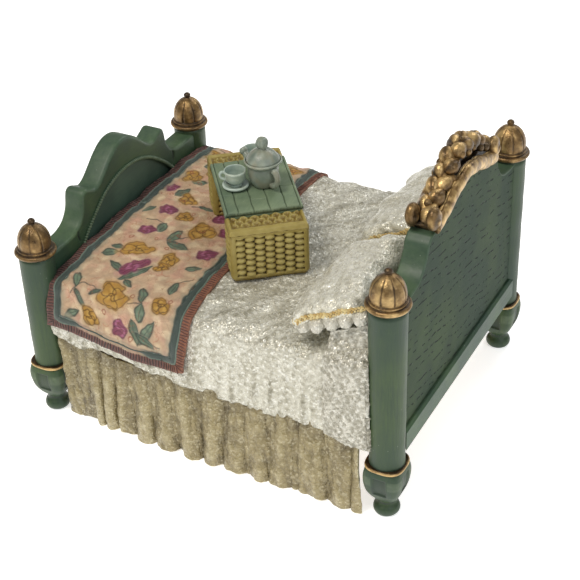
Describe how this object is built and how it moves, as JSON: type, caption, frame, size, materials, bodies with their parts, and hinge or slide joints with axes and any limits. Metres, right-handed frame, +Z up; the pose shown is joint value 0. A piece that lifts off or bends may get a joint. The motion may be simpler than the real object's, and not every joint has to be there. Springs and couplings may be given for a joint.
{
  "type": "miniature four poster bed",
  "caption": "Dolls house bed on low turned posts with shaped end boards, dressed with skirt, coverlet, quilt and pillows, and a tea tray on top.",
  "frame": {"origin": "on the floor, under the middle of the bed", "axes": "+X along the bed towards the headboard, -Y to the near side, +Z up"},
  "size_m": [0.1022, 0.082, 0.0787],
  "materials": {
    "painted_post": "brushed matte blue-green paint over turned wood",
    "painted_board": "grey-green matte paint with a scratched grain",
    "gilt": "antique gilt over moulded composition ornament, dark in the recesses",
    "bare_wood": "plain unpainted wood",
    "ticking": "plain woven ticking",
    "skirt_cloth": "gathered tan-gold cloth with a fine glitter",
    "coverlet_cloth": "pearly off-white cloth with a fine glitter",
    "quilt_cloth": "printed peach cloth with a braided and fringed border",
    "wicker": "olive-gold woven wicker, brown in the gaps",
    "tray_green": "worn grey-green paint on planks",
    "tea_ware": "satin grey-green glaze",
    "cup_ware": "satin pale blue-green glaze"
  },
  "bodies": {
    "bed": {"post_head_near": "painted_post", "collar_head_near": "gilt", "finial_head_near": "gilt", "post_head_far": "painted_post", "collar_head_far": "gilt", "finial_head_far": "gilt", "post_foot_near": "painted_post", "collar_foot_near": "gilt", "finial_foot_near": "gilt", "post_foot_far": "painted_post", "collar_foot_far": "gilt", "finial_foot_far": "gilt", "headboard_panel": "painted_board", "headboard_bottom_rail": "painted_board", "footboard_panel": "painted_board", "footboard_bottom_rail": "painted_board", "footboard_beading": "painted_board", "crest_moulding_front": "gilt", "crest_moulding_back": "gilt", "crest_volutes_near": "gilt", "crest_volutes_far": "gilt", "crest_garland": "gilt", "side_rail_near": "bare_wood", "side_rail_far": "bare_wood", "rail_pegs": "bare_wood", "slat_cleat_near": "bare_wood", "slat_cleat_far": "bare_wood", "bed_slats": "bare_wood", "box_spring": "ticking", "mattress": "ticking", "bed_skirt_near": "skirt_cloth", "bed_skirt_far": "skirt_cloth", "coverlet": "coverlet_cloth", "quilt": "quilt_cloth"},
    "tray": {"tray_basket_near": "wicker", "tray_basket_far": "wicker", "basket_lid_near": "wicker", "basket_lid_far": "wicker", "tray_bearer_near": "tray_green", "tray_bearer_far": "tray_green", "tray_board": "tray_green"},
    "teapot": {"teapot": "tea_ware"},
    "teapot_lid": {"teapot_lid": "tea_ware"},
    "saucer": {"saucer": "cup_ware"},
    "teacup_near": {"teacup_near": "cup_ware"},
    "teacup_far": {"teacup_far": "cup_ware"},
    "pillow_near": {"pillow_near": "coverlet_cloth"},
    "pillow_far": {"pillow_far": "coverlet_cloth"}
  },
  "joints": [
    {"name": "tray_lift", "type": "slide", "parent": "bed", "child": "tray", "axis": [0, 0, 1], "range_m": [0, 0.045]},
    {"name": "teapot_lift", "type": "slide", "parent": "tray", "child": "teapot", "axis": [0, 0, 1], "range_m": [0, 0.03]},
    {"name": "lid_lift", "type": "slide", "parent": "teapot", "child": "teapot_lid", "axis": [0, 0, 1], "range_m": [0, 0.012]},
    {"name": "saucer_lift", "type": "slide", "parent": "tray", "child": "saucer", "axis": [-0.5142, -0.3857, 0.766], "range_m": [0, 0.012]},
    {"name": "near_cup_lift", "type": "slide", "parent": "saucer", "child": "teacup_near", "axis": [-0.5142, -0.3857, 0.766], "range_m": [0, 0.015]},
    {"name": "far_cup_lift", "type": "slide", "parent": "tray", "child": "teacup_far", "axis": [0, 0, 1], "range_m": [0, 0.015]},
    {"name": "near_pillow_lift", "type": "slide", "parent": "bed", "child": "pillow_near", "axis": [0, 0, 1], "range_m": [0, 0.02]},
    {"name": "far_pillow_lift", "type": "slide", "parent": "bed", "child": "pillow_far", "axis": [0, 0, 1], "range_m": [0, 0.02]}
  ]
}
